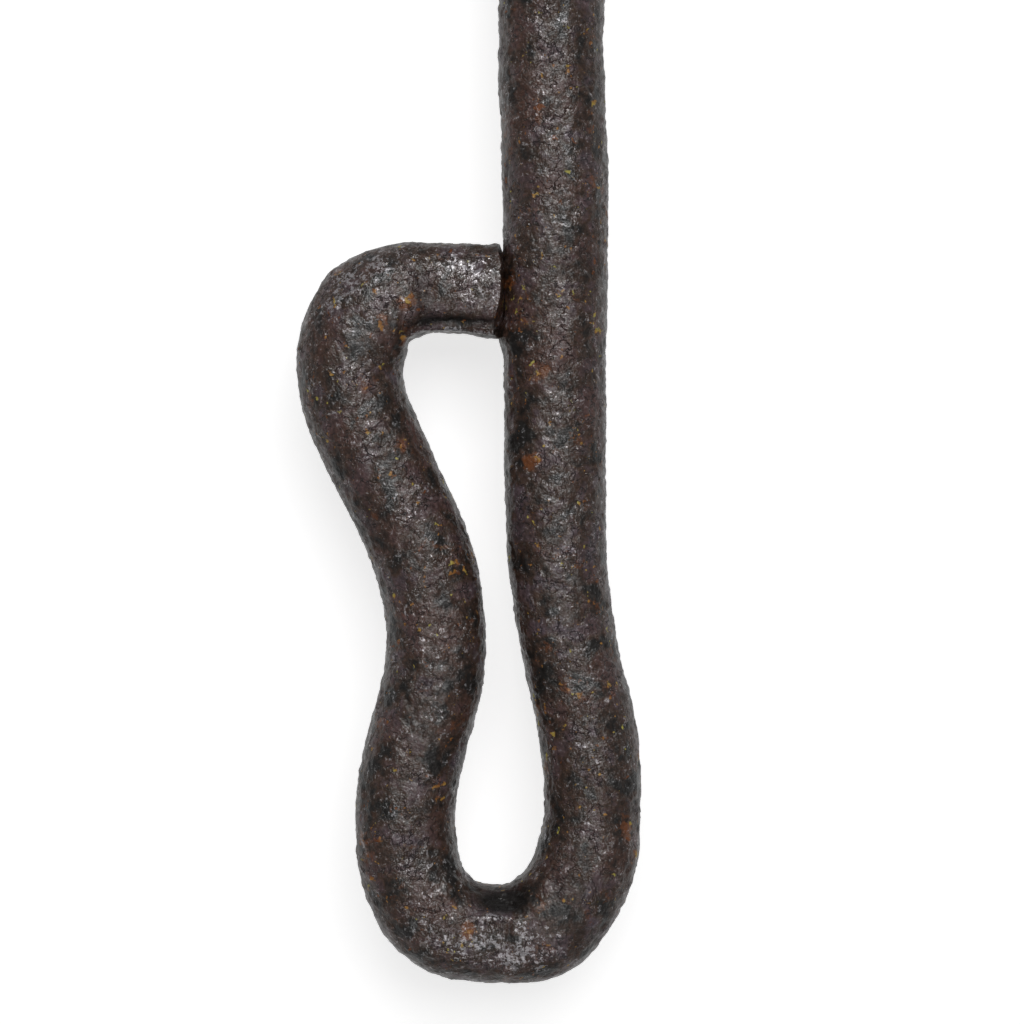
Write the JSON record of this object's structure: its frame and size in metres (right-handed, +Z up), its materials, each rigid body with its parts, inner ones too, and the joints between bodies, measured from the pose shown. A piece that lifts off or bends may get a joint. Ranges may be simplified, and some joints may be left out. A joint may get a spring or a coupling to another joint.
{
  "type": "casement window fastener",
  "caption": "Forged iron casement fastener: a round bar with a pinched loop handle slides up into a keep and turns in riveted guides on a long back plate.",
  "frame": {"origin": "middle of the back plate's rear face, on the wood of the sash", "axes": "+Z up the bar, +Y into the wood, so that the room is towards -Y; +X to the right seen from the room"},
  "size_m": [0.0524, 0.0266, 0.3171],
  "materials": {
    "forged_bar": "dark waxed forge scale with rust",
    "plate_iron": "dark waxed forge scale with rust",
    "guide_iron": "dark waxed forge scale with rust",
    "block_iron": "dark waxed forge scale with rust",
    "rivet_iron": "dark hammered iron",
    "spring_steel": "dark oil-blackened steel"
  },
  "bodies": {
    "plate_and_keep": {"back_plate": "plate_iron", "lower_guide": "guide_iron", "upper_guide": "guide_iron", "lower_guide_rivets": "rivet_iron", "upper_guide_rivets": "rivet_iron", "leaf_spring": "spring_steel", "leaf_rivet": "rivet_iron", "keep_plate": "plate_iron", "keep_eye": "guide_iron", "keep_rivets": "rivet_iron"},
    "sliding_block": {"stop_block": "block_iron", "block_pins": "rivet_iron"},
    "bar": {"bolt_bar": "forged_bar"}
  },
  "joints": [
    {"name": "bolt_slide", "type": "slide", "parent": "plate_and_keep", "child": "sliding_block", "axis": [0, 0, 1], "range_m": [-0.04, 0]},
    {"name": "bar_turn", "type": "hinge", "parent": "sliding_block", "child": "bar", "pos_m": [0, -0.015, 0.02], "axis": [0, 0, 1], "range_deg": [-18, 198]}
  ]
}
